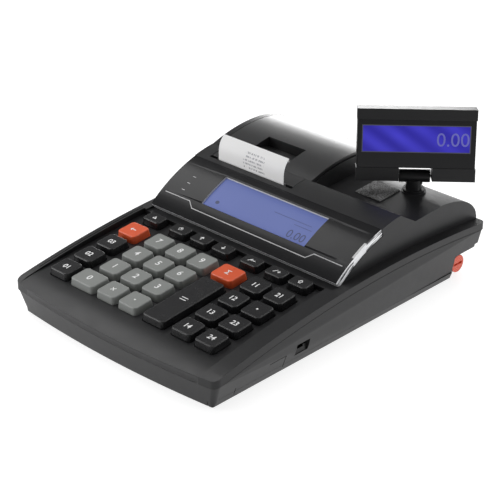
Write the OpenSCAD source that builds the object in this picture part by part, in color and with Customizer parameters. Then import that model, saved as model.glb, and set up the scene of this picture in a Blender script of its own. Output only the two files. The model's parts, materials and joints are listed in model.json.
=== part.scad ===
// Ticket register: a portable till with a sloping key deck, a curved display housing, a drop-in ticket
// printer under a hinged cover, and a customer display on a swivelling, tilting post.
// Lengths are in millimetres. X runs across the case from its middle, Y runs back, Z runs up.
// The model is drawn from its front corner line and is moved to its own origin at the end, by place().

/* [Case] */
// Width over the rim of the upper case
case_w = 174; // [172:0.5:190]
// Depth from the middle of the bowed front edge to the rear face
case_d = 252; // [250:0.5:262]
// How far the front edge bows forward at its middle
front_bow = 4.3; // [2:0.1:6]
// Overhang of the rim beyond the bottom of the case at the front corners
front_lip = 3.3; // [2:0.1:4]
// Plan radius of the rim's corners
corner_r = 4.6; // [4:0.2:6]
// How far each side of the bottom is drawn in from the rim
side_taper = 6; // [5:0.1:7]
// Wall thickness of both case halves
wall = 2.2; // [1.8:0.1:2.4]
// Gap along the line where the two case halves meet
seam_gap = 0.6; // [0.3:0.05:0.8]

/* [Key deck] */
// Height of the key deck above the bottom, at the front corner line
deck_front_z = 21.8; // [21.4:0.1:22.2]
// Slope of the key deck in degrees
deck_angle = 5.37; // [5.2:0.01:5.5]
// Distance back up to which the deck bends down to its front edge
apron_y = 10; // [7:0.5:11]
// How much lower than the straight deck the bent front is at the front corners of the rim
apron_drop = 1.5; // [1.2:0.1:1.8]
// Thickness of the deck plate
deck_t = 2; // [1.6:0.1:2.1]
// Width of the left rim beside the key deck
rim_w = 4.7; // [4.4:0.1:5.5]
// Width of the right rim beside the key deck
rim_right_w = 11.6; // [10.6:0.1:12]
// Distance back at which the side rims begin to stand up from the deck
rim_start_y = -3.8; // [-4:0.1:-3]
// Distance back at which the rims reach their arched top line
rim_arch_y = 2.5; // [2:0.5:4]
// Height of the arched top line at its highest, above the bottom
rim_top_z = 37.2; // [37:0.1:37.6]
// Distance back of the highest place of the arched top line
rim_top_y = 160; // [156:0.5:164]
// How much lower than its highest the arched line is at the front corner line
rim_drop = 15.6; // [15.4:0.1:16]
// How much lower than its highest the meeting line is at the front corner line
seam_drop = 16.9; // [16.6:0.1:17.2]
// Distance of the groove in the left rim from the case's side
groove_inset = 2.85; // [2.5:0.05:3.2]
// Distance back at which the key deck ends
deck_end_y = 101.5; // [101:0.1:103]
// Height of the ledge behind the key deck, above the deck
ledge_h = 2.8; // [2.4:0.1:3.2]
// Height of the rim's side face where it is lowest, above the meeting line of the case halves
rim_h = 4.8; // [4.6:0.1:5]

/* [Keys] */
// Spacing of the keys across the deck
key_pitch_x = 19; // [18.8:0.05:19.1]
// Spacing of the keys up the deck
key_pitch_y = 18.8; // [18.6:0.05:18.9]
// Width of a square key's top
key_w = 15; // [14:0.1:15.2]
// Depth of a square key's top
key_d = 14.4; // [13.5:0.1:14.6]
// Corner radius of a key's top
key_r = 2; // [1.2:0.1:2.5]
// How far each side of a key spreads from its top to the deck
key_flare = 0.6; // [0.3:0.05:0.7]
// Height of the key tops above the deck
key_h = 4.7; // [4.4:0.1:5.2]
// Travel of a key
key_travel = 2.2; // [1.8:0.1:2.3]
// Gap between a key and its hole in the deck
key_gap = 0.45; // [0.35:0.05:0.5]
// Width of the flange that keeps a key under its hole
key_flange = 0.5; // [0.4:0.05:0.55]
// Distance up the deck of the lowest row of keys
first_row_r = 21.5; // [21:0.1:22]
// Distance up the deck of the row of shallow keys at the top
top_row_r = 96.85; // [96.6:0.05:97]
// Depth of the shallow keys' tops
top_key_d = 9.2; // [8.5:0.1:9.4]
// Width of the shallow keys' tops
top_key_w = 14.4; // [13:0.1:15]
// Position across of the middle column of digits
digit_x = -23.4; // [-24:0.1:-23]
// Space between the left column and the digits, beyond the key spacing
left_gap = 4.7; // [4.4:0.1:5.2]
// Space between the digits and the tall key, beyond the key spacing
total_gap = 3.35; // [3:0.05:3.6]
// Space between the tall key and the right block, beyond the key spacing
right_gap = 3.85; // [3.6:0.05:4.2]
// Width of the tall key's top
total_w = 17.3; // [16.5:0.1:17.5]
// Width of the wide zero key's top
zero_w = 19.5; // [18.5:0.1:19.8]

/* [Display housing] */
// Radius of the housing's curved front
fascia_r = 107.5; // [107:0.1:109]
// Thickness of the clear panel
lens_t = 5; // [4.5:0.1:5.2]
// Angle on the curve where the clear panel begins, at its lower edge
lens_a0 = 130.1; // [129.8:0.1:130.6]
// Angle on the curve where the clear panel ends
lens_a1 = 105.4; // [105:0.1:106]
// Angle on the curve where the housing's crest lies
crest_a = 95.9; // [95.6:0.1:96.2]
// Half width of the display housing
housing_hw = 80; // [79:0.1:81]
// How much narrower than the housing the clear panel is, on each side
lens_inset = 0.5; // [0.3:0.1:1]
// Width of the operator display module
lcd_w = 91; // [88:0.5:96]
// Height of the operator display module along the slope
lcd_h = 27.5; // [26:0.5:29]
// Thickness of the operator display module
lcd_t = 4; // [3:0.1:5]
// Angle on the curve of the operator display's middle
lcd_a = 116.1; // [115.6:0.1:116.6]

/* [Printer] */
// Left edge of the printer bay
bay_x0 = -75.7; // [-76.2:0.1:-75.2]
// Right edge of the printer bay
bay_x1 = 5; // [4.8:0.1:5.4]
// Thickness of the wall between the bay and the rear tray
bay_wall = 3.3; // [3:0.1:3.8]
// Thickness of the printer cover
cover_t = 2.2; // [1.8:0.1:2.4]
// Gap between the cover and the case
cover_gap = 0.4; // [0.3:0.05:0.5]
// Height of the top of the cover above the bottom of the case
cover_top_z = 69.5; // [69:0.1:71]
// Distance from the rear face to the cover's highest line
cover_top_back = 41.4; // [40.5:0.1:42]
// Height of the rounded rear end of the cover
cover_drop = 22; // [21.5:0.1:22.5]
// Radius of the cover's hinge pin
hinge_pin_r = 1.5; // [1.2:0.1:1.8]
// Radius of the hinge barrels
barrel_r = 4; // [3.6:0.1:4.2]
// Width of the ticket paper
paper_w = 57.5; // [56:0.1:58.5]
// Thickness of the ticket paper
paper_t = 0.25; // [0.2:0.01:0.3]
// Radius of the full paper roll
roll_r = 21; // [18:0.5:21.5]
// Radius of the platen roller
platen_r = 5.4; // [5:0.1:5.6]
// Module of the printer's gears
gear_module = 0.8; // [0.75:0.01:0.85]
// Teeth on the platen's gear
platen_teeth = 16; // [15:1:17]
// Teeth on the motor's gear
motor_teeth = 14; // [13:1:15]

/* [Rear tray] */
// Height of the tray's floor at its front
tray_z = 53.6; // [53:0.1:54.5]
// Height of the tray's floor where it starts to round down
tray_back_z = 55; // [54.6:0.1:55.6]
// Side of the textured pad
pad_w = 20.4; // [18:0.1:22]
// Thickness of the textured pad
pad_t = 0.8; // [0.6:0.1:1.2]

/* [Customer display] */
// Position across of the post
post_x = 52.5; // [50:0.1:52.6]
// Distance from the rear face to the post
post_back = 33.4; // [33:0.1:35]
// Radius of the post
post_r = 5.15; // [4.6:0.05:5.4]
// Height of the tilting knuckle's axis above the bottom of the case
knuckle_z = 65.4; // [65:0.1:67]
// Radius of the tilting knuckle
knuckle_r = 4.2; // [3.8:0.1:4.4]
// Length of the tilting knuckle
knuckle_w = 19.6; // [18.5:0.1:20]
// Radius of the tilt pin
tilt_pin_r = 1; // [0.8:0.05:1.1]
// Direction that the display is turned to, in degrees
head_turn = 41.7; // [35:0.1:48]
// How far the display leans back, in degrees
head_lean = 11; // [5:0.5:15]
// Width of the customer display
head_w = 75.2; // [73:0.1:77]
// Height of the customer display
head_h = 46.2; // [45:0.1:48]
// Thickness of the customer display
head_t = 14.8; // [14.2:0.1:16]

/* [Hidden] */
$fn = 48;
eps = 0.01;
foot_proud = 0.8;
run_gap = 0.05;

KEYS = [
    // name, column x, distance up the deck, width, depth, colour
    ["key_f1", left_x(), row_r(0), key_w, key_d, "black"],
    ["key_f2", left_x(), row_r(1), key_w, key_d, "black"],
    ["key_f3", left_x(), row_r(2), key_w, key_d, "black"],
    ["key_clear", left_x(), row_r(3), key_w, key_d, "orange"],
    ["key_feed", left_x(), top_row_r, top_key_w, top_key_d, "black"],
    ["key_0", digit_x - key_pitch_x - (zero_w - key_w) / 2, row_r(0), zero_w, key_d, "grey"],
    ["key_1", digit_x - key_pitch_x, row_r(1), key_w, key_d, "grey"],
    ["key_4", digit_x - key_pitch_x, row_r(2), key_w, key_d, "grey"],
    ["key_7", digit_x - key_pitch_x, row_r(3), key_w, key_d, "grey"],
    ["key_power", digit_x - key_pitch_x, top_row_r, top_key_w, top_key_d, "black"],
    ["key_times", digit_x, row_r(0), key_w, key_d, "grey"],
    ["key_2", digit_x, row_r(1), key_w, key_d, "grey"],
    ["key_5", digit_x, row_r(2), key_w, key_d, "grey"],
    ["key_8", digit_x, row_r(3), key_w, key_d, "grey"],
    ["key_up", digit_x, top_row_r, top_key_w, top_key_d, "black"],
    ["key_point", digit_x + key_pitch_x, row_r(0), key_w, key_d, "grey"],
    ["key_3", digit_x + key_pitch_x, row_r(1), key_w, key_d, "grey"],
    ["key_6", digit_x + key_pitch_x, row_r(2), key_w, key_d, "grey"],
    ["key_9", digit_x + key_pitch_x, row_r(3), key_w, key_d, "grey"],
    ["key_down", digit_x + key_pitch_x, top_row_r, top_key_w, top_key_d, "black"],
    ["key_total", total_x(), row_r(1), total_w, 2 * key_pitch_y + key_d + 0.2, "black"],
    ["key_subtotal", total_x(), row_r(3), total_w, key_d, "orange"],
    ["key_minus", total_x() + 2, top_row_r, top_key_w, top_key_d, "black"],
    ["key_d4", right_x(), row_r(0), key_w, key_d, "black"],
    ["key_d3", right_x(), row_r(1), key_w, key_d, "black"],
    ["key_d2", right_x(), row_r(2), key_w, key_d, "black"],
    ["key_d1", right_x(), row_r(3), key_w, key_d, "black"],
    ["key_plus", right_x(), top_row_r, top_key_w, top_key_d, "black"],
    ["key_p1", right_x() + key_pitch_x, row_r(0), key_w, key_d, "black"],
    ["key_p2", right_x() + key_pitch_x, row_r(1), key_w, key_d, "black"],
    ["key_p3", right_x() + key_pitch_x, row_r(2), key_w, key_d, "black"],
    ["key_p4", right_x() + key_pitch_x, row_r(3), key_w, key_d, "black"],
    ["key_shift", right_x() + key_pitch_x, top_row_r, top_key_w, top_key_d, "black"],
];
function row_r(row) = first_row_r + row * key_pitch_y;
function left_x() = digit_x - 2 * key_pitch_x - left_gap;
function total_x() = digit_x + 2 * key_pitch_x + total_gap;
function right_x() = total_x() + key_pitch_x + right_gap;

// Case lines
case_hw = case_w / 2;
front_y = -front_lip - front_bow;
rear_y = front_y + case_d;
mid_y = (front_y + rear_y) / 2;
bottom_hw = case_hw - side_taper;
seam_overhang = 0.35;
shell_hw = case_hw - seam_overhang;
rear_skin_y = rear_y - 1.4;

function deck_z(y) = deck_front_z + y * tan(deck_angle);
ledge_z = deck_z(deck_end_y) + ledge_h;
function deck_top(y) = deck_z(y) - apron_drop * pow(max(0, apron_y - y) / (apron_y + front_lip), 2);
function rim_at(y) = rim_top_z - rim_drop * pow((rim_top_y - y) / rim_top_y, 2);
function seam_at(y) = rim_top_z - rim_h - seam_drop * pow((rim_top_y - y) / rim_top_y, 2);
seam_z = rim_top_z - rim_h;
skirt_z = seam_at(rear_y) + 1;
well_wall = 1;
wall_y = 14;
well_x0 = -case_hw + rim_w;
well_x1 = case_hw - rim_right_w;
function rim_line(y0, y1, drop, steps = 24) =
    [for (i = [0:steps]) let (y = y0 + (y1 - y0) * i / steps) [y, rim_at(y) - drop]];
function seam_line(y0, y1, rise, steps = 36) =
    [for (i = [0:steps]) let (y = y0 + (y1 - y0) * i / steps) [y, seam_at(y) + rise]];
function deck_line(y1, drop) = concat(
    [for (y = [-12:2:apron_y]) [y, deck_top(y) - drop]], [[y1, deck_top(y1) - drop]]);

// Curve of the display housing
lens_front_y = deck_end_y + 3.8;
lens_front_z = ledge_z + lens_t * sin(lens_a0);
arc_y = lens_front_y - fascia_r * cos(lens_a0);
arc_z = lens_front_z - fascia_r * sin(lens_a0);
function on_arc(angle, radius) = [arc_y + radius * cos(angle), arc_z + radius * sin(angle)];
function arc_points(a0, a1, radius, steps) =
    [for (i = [0:steps]) on_arc(a0 + (a1 - a0) * i / steps, radius)];
crest = on_arc(crest_a, fascia_r);
seat_t = 2;
seat_r = fascia_r - lens_t;

// Printer cover: one arc from the crest up to the top line, then a quarter ellipse down the back
cover_top_y = rear_y - cover_top_back;
cover_rise = cover_top_z - crest[1];
cover_run = cover_top_y - crest[0];
cover_arc_r = (cover_run * cover_run + cover_rise * cover_rise) / (2 * cover_rise);
cover_arc_a = 90 + asin(cover_run / cover_arc_r);
cover_end_a = rear_skin_y - cover_top_y;
cover_foot_z = cover_top_z - cover_drop;
function cover_line(inset, steps = 14) = concat(
    [for (i = [0:steps])
        let (a = cover_arc_a + (90 - cover_arc_a) * i / steps)
        [cover_top_y + (cover_arc_r - inset) * cos(a),
         cover_top_z - cover_arc_r + (cover_arc_r - inset) * sin(a)]],
    [for (i = [1:steps])
        let (a = 90 - 90 * i / steps)
        [cover_top_y + (cover_end_a - inset) * cos(a), cover_foot_z + (cover_drop - inset) * sin(a)]]
);

// Rear tray: down from the crest, back along the floor, then a quarter ellipse down the back
tray_x0 = bay_x1 + bay_wall;
tray_front_y = crest[0] + 15.1;
tray_round_y = rear_skin_y - 38.5;
tray_foot_z = tray_back_z - 21.5;
function tray_line(inset, steps = 14) = concat(
    [[crest[0] - inset / 2, crest[1] - 1.3 * inset], [tray_front_y - inset / 2, tray_z - inset],
     [tray_round_y, tray_back_z - inset]],
    [for (i = [1:steps])
        let (a = 90 - 90 * i / steps)
        [tray_round_y + (rear_skin_y - tray_round_y - inset) * cos(a),
         tray_foot_z + (tray_back_z - tray_foot_z - inset) * sin(a)]]
);

// Printer lines
slot_y = 149.8 + deck_end_y - 101.5;
nip_gap = 0.3;
tongue_y = slot_y + 2.2;
tongue_x0 = bay_x0 + 6.3;
tongue_x1 = bay_x1 - 2.7;
platen_y = slot_y + 0.75 + paper_t + nip_gap + platen_r;
platen_z = 50;
paper_x = (tongue_x0 + tongue_x1) / 2;
paper_x0 = paper_x - paper_w / 2;
paper_x1 = paper_x + paper_w / 2;
roll_y = platen_y + 40.5;
roll_z = 36;
trough_gap = 0.5;
trough_t = 2;
gear_distance = gear_module * (platen_teeth + motor_teeth) / 2;
gear_dir = -107;
motor_y = platen_y + gear_distance * cos(gear_dir);
motor_z = platen_z + gear_distance * sin(gear_dir);
gear_w = 2.6;
frame_t = 1.2;
frame_x0 = bay_x0 + 3.1;
frame_x1 = bay_x1 - 1.9;
arm_t = 2;
arm_x0 = paper_x0 - 0.8 - arm_t;
arm_x1 = paper_x1 + 0.6;
gear_x0 = arm_x1 + arm_t + 0.4;
platen_shaft_r = 2;
motor_shaft_r = 1.5;

// Cover hinge
hinge_y = rear_skin_y - 6.5;
hinge_z = cover_foot_z;
lug_w = 6.5;
lug_x0 = bay_x0 + 2.7;
lug_x1 = bay_x1 - 2 - lug_w;
rear_wall_z = hinge_z - 7;

// Recess for cables and for the seal plug at the rear
plug_wall_y = rear_y - 14.9;
side_end_y = rear_y - 27.4;
block_x = bottom_hw - 4;
recess_z = 16.5;
plug_y = (side_end_y + plug_wall_y) / 2 + 0.25;
plug_z = 8.3;
plug_r = 6;
plug_shaft_r = 3;

// Customer display
post_y = rear_y - post_back;
boss_z = 55.4 + tray_back_z - 55;
head_front = 9.3;
head_low = 1.7;
bar_low = 8.5;
bar_top = 6.9;
bar_proud = 0.4;
notch_w = knuckle_w + 1.4;

// Screws
screw_r = 1.5;
boss_r = 3.4;
screw_head_r = 2.7;
front_screw = [bottom_hw - 7, 6.2];
front_screw_z = 9;
rear_screw = [-bay_x0 - 2.8, plug_wall_y + 3.4];
rear_screw_z = recess_z + wall;
rear_boss_z = rear_screw_z + 2.3;

// Moves what is drawn from the front corner line to the model's own origin
module place() {
    translate([0, -mid_y, foot_proud]) children();
}

// Extrudes an outline given in (y, z) from x0 to x1
module yz_prism(points, x0, x1) {
    translate([x0, 0, 0]) rotate([90, 0, 90]) linear_extrude(x1 - x0) polygon(points);
}

// Extrudes an outline given in (x, z) from y0 to y1
module xz_prism(points, y0, y1) {
    translate([0, y1, 0]) rotate([90, 0, 0]) linear_extrude(y1 - y0) polygon(points);
}

// A box given by its low and high corners
module block(low, high) {
    translate(low) cube(high - low);
}

// A cylinder along X from x0 to x1
module rod_x(x0, x1, y, z, r) {
    translate([x0, y, z]) rotate([0, 90, 0]) cylinder(h = x1 - x0, r = r);
}

// Stands on the sloping deck: X across, Y up the slope, Z square to it
module on_deck() {
    translate([0, 0, deck_front_z]) rotate([deck_angle, 0, 0]) children();
}

function rounded_rect(w, d, r, steps = 5) = [
    for (corner = [0:3])
        for (i = [0:steps])
            let (a = 90 * corner + 90 * i / steps, sx = (corner == 0 || corner == 3) ? 1 : -1,
                 sy = corner < 2 ? 1 : -1)
            [sx * (w / 2 - r) + r * cos(a), sy * (d / 2 - r) + r * sin(a)]
];

// Plan outline with a bowed front: half width, y of the front corners, y of the rear, corner radius
function plan(hw, yf, yr, r) = let (
    slope = atan(2 * front_bow * (hw - r) / (hw * hw)),
    xs = hw - r + r * sin(slope),
    ys = yf - front_bow * (1 - xs * xs / (hw * hw)),
    front = [for (i = [-10:10]) let (x = xs * i / 10) [x, yf - front_bow * (1 - x * x / (hw * hw))]],
    turn = [for (i = [1:8]) let (a = -90 + slope + (90 - slope) * i / 8)
        [hw - r + r * cos(a), ys + r * cos(slope) + r * sin(a)]],
    back = [for (i = [0:8]) let (a = 90 * i / 8) [hw - r + r * cos(a), yr - r + r * sin(a)]]
) concat(
    front, turn, back,
    [for (i = [8:-1:0]) [-back[i][0], back[i][1]]],
    [for (i = [7:-1:0]) [-turn[i][0], turn[i][1]]]
);

module plan_slab(hw, yf, yr, r, z0, z1) {
    translate([0, 0, z0]) linear_extrude(z1 - z0) polygon(plan(hw, yf, yr, r));
}

// Everything below the arched meeting line, which is lowered by a drop
module below_seam(drop) {
    yz_prism(concat([[-30, -30]], seam_line(-30, rear_y + 30, -drop), [[rear_y + 30, -30]]), -case_w, case_w);
}

// Tapered body of the lower case, drawn in all round by an inset: it spreads from the bottom's outline
// to the outline at the arched meeting line
module tub(inset, floor_z) {
    over = 0.3;
    hull() {
        plan_slab(bottom_hw - inset, inset, rear_y - 3 - inset, corner_r - 1.6 - inset * 0.6,
                  floor_z, floor_z + eps);
        intersection() {
            plan_slab(shell_hw - inset, inset - front_lip + seam_overhang, rear_y - 0.4 - inset,
                      corner_r - inset * 0.6, 0, seam_z + 9);
            yz_prism(concat(seam_line(-12, rear_y, over),
                            [for (i = [36:-1:0]) seam_line(-12, rear_y, over - eps)[i]]), -case_w, case_w);
        }
    }
}

// The bottom corners of the lower case, which spread out to sharp feet
module corner_flare() {
    flare_h = 4.5;
    spread = (shell_hw - bottom_hw) * flare_h / seam_at(0);
    hull() {
        plan_slab(bottom_hw, 0, rear_y - 3, 1.2, 0, eps);
        plan_slab(bottom_hw + spread, -spread / 2, rear_y - 3 + spread / 3, corner_r, flare_h, flare_h + eps);
    }
}

// Recess behind and beside the rear wall of the lower case, grown by a wall
module rear_recess(grow) {
    block([-case_w, plug_wall_y - grow, -1], [case_w, rear_y + 9, recess_z + grow]);
    block([-case_w, rear_y - 7.4 - grow, -1], [case_w, rear_y + 9, recess_z + 2 + grow]);
    for (side = [-1, 1])
        translate([side * (block_x + case_w / 2), (side_end_y + rear_y) / 2, recess_z / 2])
            cube([case_w + 2 * grow, rear_y - side_end_y + 2 * grow, recess_z + 2 * grow], center = true);
}

// Sockets in the rear wall: middle x, width, low z, high z
SOCKETS = [[-52, 12, 7.4, 14.6], [-34, 12, 7.4, 14.6], [-16, 12, 7.4, 14.6], [6, 8.6, 7.2, 15]];

// Lower half of the case, a tub with a floor, screw posts, board posts and openings for the sockets
module bottom_case() {
    post_y1 = 158;
    color([0.24, 0.24, 0.25]) place() difference() {
        union() {
            intersection() {
                difference() {
                    union() {
                        tub(0, 0);
                        corner_flare();
                    }
                    difference() {
                        tub(wall, wall);
                        rear_recess(wall);
                    }
                    rear_recess(0);
                }
                below_seam(seam_gap / 2);
            }
            for (side = [-1, 1]) {
                translate([side * front_screw[0], front_screw[1], 1])
                    cylinder(h = front_screw_z - 1, r = boss_r);
                for (y = [post_y1, plug_wall_y - 14])
                    translate([side * 58, y, wall - eps]) cylinder(h = 2.8 + eps, r = 2.5);
            }
            rod_x(block_x - 5, block_x - 1, plug_y, plug_z, plug_shaft_r + 1.6);
        }
        for (side = [-1, 1]) {
            translate([side * front_screw[0], front_screw[1], -1]) {
                cylinder(h = front_screw_z + 2, r = screw_r + 0.2);
                cylinder(h = 4.5, r = screw_head_r + 0.3);
            }
            translate([side * rear_screw[0], rear_screw[1], recess_z - 1])
                cylinder(h = wall + 2, r = screw_r + 0.2);
        }
        for (foot = FEET)
            translate([foot[0], foot[1], -1]) cylinder(h = 1 + foot_proud, r = foot_r + 0.2);
        for (socket = SOCKETS)
            block([socket[0] - socket[1] / 2, plug_wall_y - wall - 1, socket[2]],
                  [socket[0] + socket[1] / 2, plug_wall_y + 1, socket[3]]);
        rod_x(block_x - 6, block_x + 1, plug_y, plug_z, plug_shaft_r + run_gap);
        side_port();
        side_hatch_line();
        deck_room();
    }
}

// Room inside the side walls for the edges of the key deck, which lie below the meeting line
module deck_room() {
    room = well_wall + 0.3;
    under = deck_t + 0.4;
    y0 = front_y + 2;
    y1 = deck_end_y + 4;
    yz_prism([[y0, deck_z(y0) - under], [y1, deck_z(y1) - under], [y1, 60], [y0, 60]],
             well_x0 - room, well_x1 + room);
}

// Place across of the lower case's leaning side, at a distance back and a height
function side_x(y, z) = bottom_hw + (shell_hw - bottom_hw) * z / seam_at(y);

// Closed service port on the right side: a flat recess with a stepped dent in its floor
module side_port() {
    x = side_x(70.6, 11.4);
    depth = 0.8;
    block([x - depth, 65, 7.5], [case_hw + 9, 76.3, 15.3]);
    block([x - 2 * depth, 66.2, 10.1], [case_hw, 73.4, 13.9]);
}

// Thin parting lines of the small hatch and of the corner foot, cut into the right side and the front
module side_hatch_line() {
    depth = 0.9;
    line_w = 0.5;
    for (line = [[42.7, 56.7, 12.4 - line_w, 12.4], [56.7 - line_w, 56.7, 3.1, 12.4],
                 [15.9, 15.9 + line_w, 2.1, 7.2]])
        translate([bottom_hw, 0, 0]) rotate([0, atan((shell_hw - bottom_hw) / seam_at(line[0])), 0])
            block([-depth, line[0], line[2]], [9, line[1], line[3]]);
    block([bottom_hw - 3.4, -9, -1], [bottom_hw - 3.4 + line_w, 0.3, 3.6]);
}

foot_r = 6;
FEET = [for (x = [-1, 1]) for (y = [24, side_end_y - 14]) [x * (bottom_hw - 14), y]];

// Four stick-on rubber feet, half sunk into the floor of the case
module rubber_feet() {
    color([0.12, 0.12, 0.12]) place()
        for (foot = FEET)
            translate([foot[0], foot[1], -foot_proud]) cylinder(h = 2 * foot_proud, r = foot_r);
}

// Four screws that hold the case halves together: two in the floor, two under the rear overhang
module case_screws() {
    color([0.6, 0.6, 0.62]) place() for (side = [-1, 1]) {
        translate([side * front_screw[0], front_screw[1], 0]) screw(3.5, 12.5);
        translate([side * rear_screw[0], rear_screw[1], recess_z]) screw(0, 14);
    }
}

module screw(head_z, length) {
    translate([0, 0, head_z]) cylinder(h = length, r = screw_r);
    difference() {
        translate([0, 0, head_z - 2]) cylinder(h = 2, r = screw_head_r);
        translate([0, 0, head_z - 2.5]) for (turn = [0, 90]) rotate([0, 0, turn])
            cube([3.4, 0.7, 2.4], center = true);
    }
}

// Upper half of the case: rim, key deck, display housing, printer bay, rear tray
module top_case() {
    color([0.2, 0.2, 0.21]) place() difference() {
        union() {
            difference() {
                upper_shell();
                key_well();
                lens_seat();
                upper_cavity();
            }
            bay_walls();
            deck_posts();
            upper_bosses();
        }
        key_holes();
        lcd_opening();
        translate([post_x, post_y, boss_z - 9]) cylinder(h = 12, r = 3.5 + run_gap);
        rod_x(lug_x0 - 1, bay_x1 - 1, hinge_y, hinge_z, hinge_pin_r);
        for (side = [-1, 1]) {
            translate([side * front_screw[0], front_screw[1], front_screw_z - 1])
                cylinder(h = 8, r = screw_r);
            translate([side * rear_screw[0], rear_screw[1], rear_screw_z - 1])
                cylinder(h = 13.5, r = screw_r);
        }
    }
}

module upper_shell() {
    // Rim slab, from the meeting line up to the arched top line of the rim
    intersection() {
        plan_slab(case_hw, -front_lip, rear_y, corner_r, 0, 60);
        yz_prism(concat(seam_line(-12, rear_y + 9, seam_gap / 2),
                        [for (i = [24:-1:0]) rim_line(rim_arch_y, rear_y + 9, 0)[i]],
                        [for (y = [rim_start_y, -6, -8, -10, -12]) [y, deck_top(y)]]), -case_w, case_w);
    }
    // Deck plate, the thin walls beside it and the wall at its rear end
    yz_prism([[apron_y, deck_z(apron_y)], [deck_end_y + 1, deck_z(deck_end_y + 1)],
              [deck_end_y + 1, deck_z(deck_end_y + 1) - deck_t],
              [apron_y, deck_z(apron_y) - deck_t]], well_x0 - well_wall, well_x1 + well_wall);
    for (x = [well_x0 - well_wall, well_x1])
        yz_prism(concat([[wall_y, deck_z(wall_y) - deck_t]], rim_line(wall_y, deck_end_y + 1, 0.5),
                        [[deck_end_y + 1, deck_z(deck_end_y + 1) - deck_t]]), x, x + well_wall);
    block([well_x0 - well_wall, deck_end_y, deck_z(deck_end_y) - deck_t],
          [well_x1 + well_wall, deck_end_y + wall, ledge_z - 0.5]);
    // Display housing, then the block under the rear tray, then the left cheek beside the cover
    yz_prism(concat([[lens_front_y - 1, skirt_z], [lens_front_y - 1, ledge_z]],
                    arc_points(lens_a0, crest_a, fascia_r, 24), [[crest[0], skirt_z]]),
             -housing_hw, housing_hw);
    yz_prism(concat([[crest[0] - 3, skirt_z], [crest[0] - 3, crest[1] - 2]], tray_line(0),
                    [[rear_skin_y, skirt_z]]), tray_x0, housing_hw);
    yz_prism(concat([[crest[0] - 3, skirt_z], [crest[0] - 3, crest[1] - 2]], cover_line(0),
                    [[rear_skin_y, skirt_z]]), -housing_hw, bay_x0);
}

// Room above the key deck between the rims, the ledge behind it, and the groove in the left rim
module key_well() {
    groove_w = 0.6;
    groove_d = 1;
    yz_prism(concat(deck_line(deck_end_y, 0), [[deck_end_y, 60], [-12, 60]]), well_x0, well_x1);
    block([-housing_hw - eps, deck_end_y - eps, ledge_z], [housing_hw + eps, ledge_end_y, 60]);
    yz_prism(concat(rim_line(wall_y, deck_end_y, groove_d), [[deck_end_y, 60], [wall_y, 60]]),
             -case_hw + groove_inset, -case_hw + groove_inset + groove_w);
}

// Seat that the clear panel drops into, and the line where it meets the ledge in front of it
lens_gap_a = 0.1;
ledge_end_y = arc_y - sqrt(seat_r * seat_r - (ledge_z - arc_z) * (ledge_z - arc_z));
module lens_seat() {
    yz_prism(concat(arc_points(lens_a0 + lens_gap_a, lens_a1 - lens_gap_a, seat_r, 24),
                    arc_points(lens_a1 - lens_gap_a, lens_a0 + lens_gap_a, fascia_r + 4, 24)),
             -housing_hw - eps, housing_hw + eps);
}

module lcd_opening() {
    lcd_frame() block([-lcd_w / 2 - 0.3, -lcd_h / 2 - 0.3, -6], [lcd_w / 2 + 0.3, lcd_h / 2 + 0.3, 6]);
}

// Stands at the middle of the operator display's face: X across, Y up the slope, Z out of the panel
module lcd_frame() {
    drop = seat_r - sqrt(seat_r * seat_r - lcd_h * lcd_h / 4) + 0.3;
    middle = on_arc(lcd_a, seat_r - drop);
    translate([0, middle[0], middle[1]]) rotate([lcd_a - 90, 0, 0]) children();
}

module upper_cavity() {
    low_z = seam_z - 15;
    inner_hw = housing_hw - wall;
    // Under the key deck, where the deck lies above the meeting line
    yz_prism(concat([[-3, 5]], [for (y = [-3:2.6:apron_y]) [y, deck_top(y) - deck_t]],
                    [[60, deck_z(60) - deck_t], [60, 5]]), -case_hw + wall, case_hw - wall);
    // Under the skin of the wide right rim and of the rims beside the display housing
    under_rim(wall_y, deck_end_y - wall, well_x1 + well_wall, case_hw - wall);
    for (side = [[-case_hw + wall, -housing_hw], [housing_hw, case_hw - wall]])
        under_rim(deck_end_y + wall, rear_y - corner_r, side[0], side[1]);
    // Under the display housing
    yz_prism(concat([[deck_end_y + wall, deck_z(deck_end_y) - deck_t - 9],
                     [deck_end_y + wall, ledge_z - wall], [deck_end_y + 9, ledge_z - wall]],
                    arc_points(lens_a0 - 2.6, lens_a1 - 1.2, seat_r - seat_t, 24),
                    arc_points(lens_a1 - 1.2, crest_a, fascia_r - wall, 8),
                    [[crest[0] + 1, crest[1] - 1.3 * wall], [crest[0] + 1, low_z]]), -inner_hw, inner_hw);
    // Under the rear tray
    yz_prism(concat([[crest[0] - 3, low_z], [crest[0] - 3, crest[1] - 1.6 * wall]], tray_line(wall),
                    [[rear_skin_y - wall, low_z]]), tray_x0, inner_hw);
    // Printer bay, open above, with the notch for the cover's tongue
    block([bay_x0, crest[0], low_z], [bay_x1, rear_skin_y - wall - 0.2, 90]);
    block([bay_x1 - eps, crest[0], low_z], [tray_x0 + eps, rear_skin_y - wall - 0.2, 90]);
    block([tongue_x0 - cover_gap, slot_y, low_z], [tongue_x1 + cover_gap, crest[0] + 1, 90]);
    block([bay_x0, rear_skin_y - wall - 1, rear_wall_z], [tray_x0, rear_y + 9, 90]);
}

module under_rim(y0, y1, x0, x1) {
    yz_prism(concat([[y0, 5]], rim_line(y0, y1, wall, 12), [[y1, 5]]), x0, x1);
}

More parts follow.
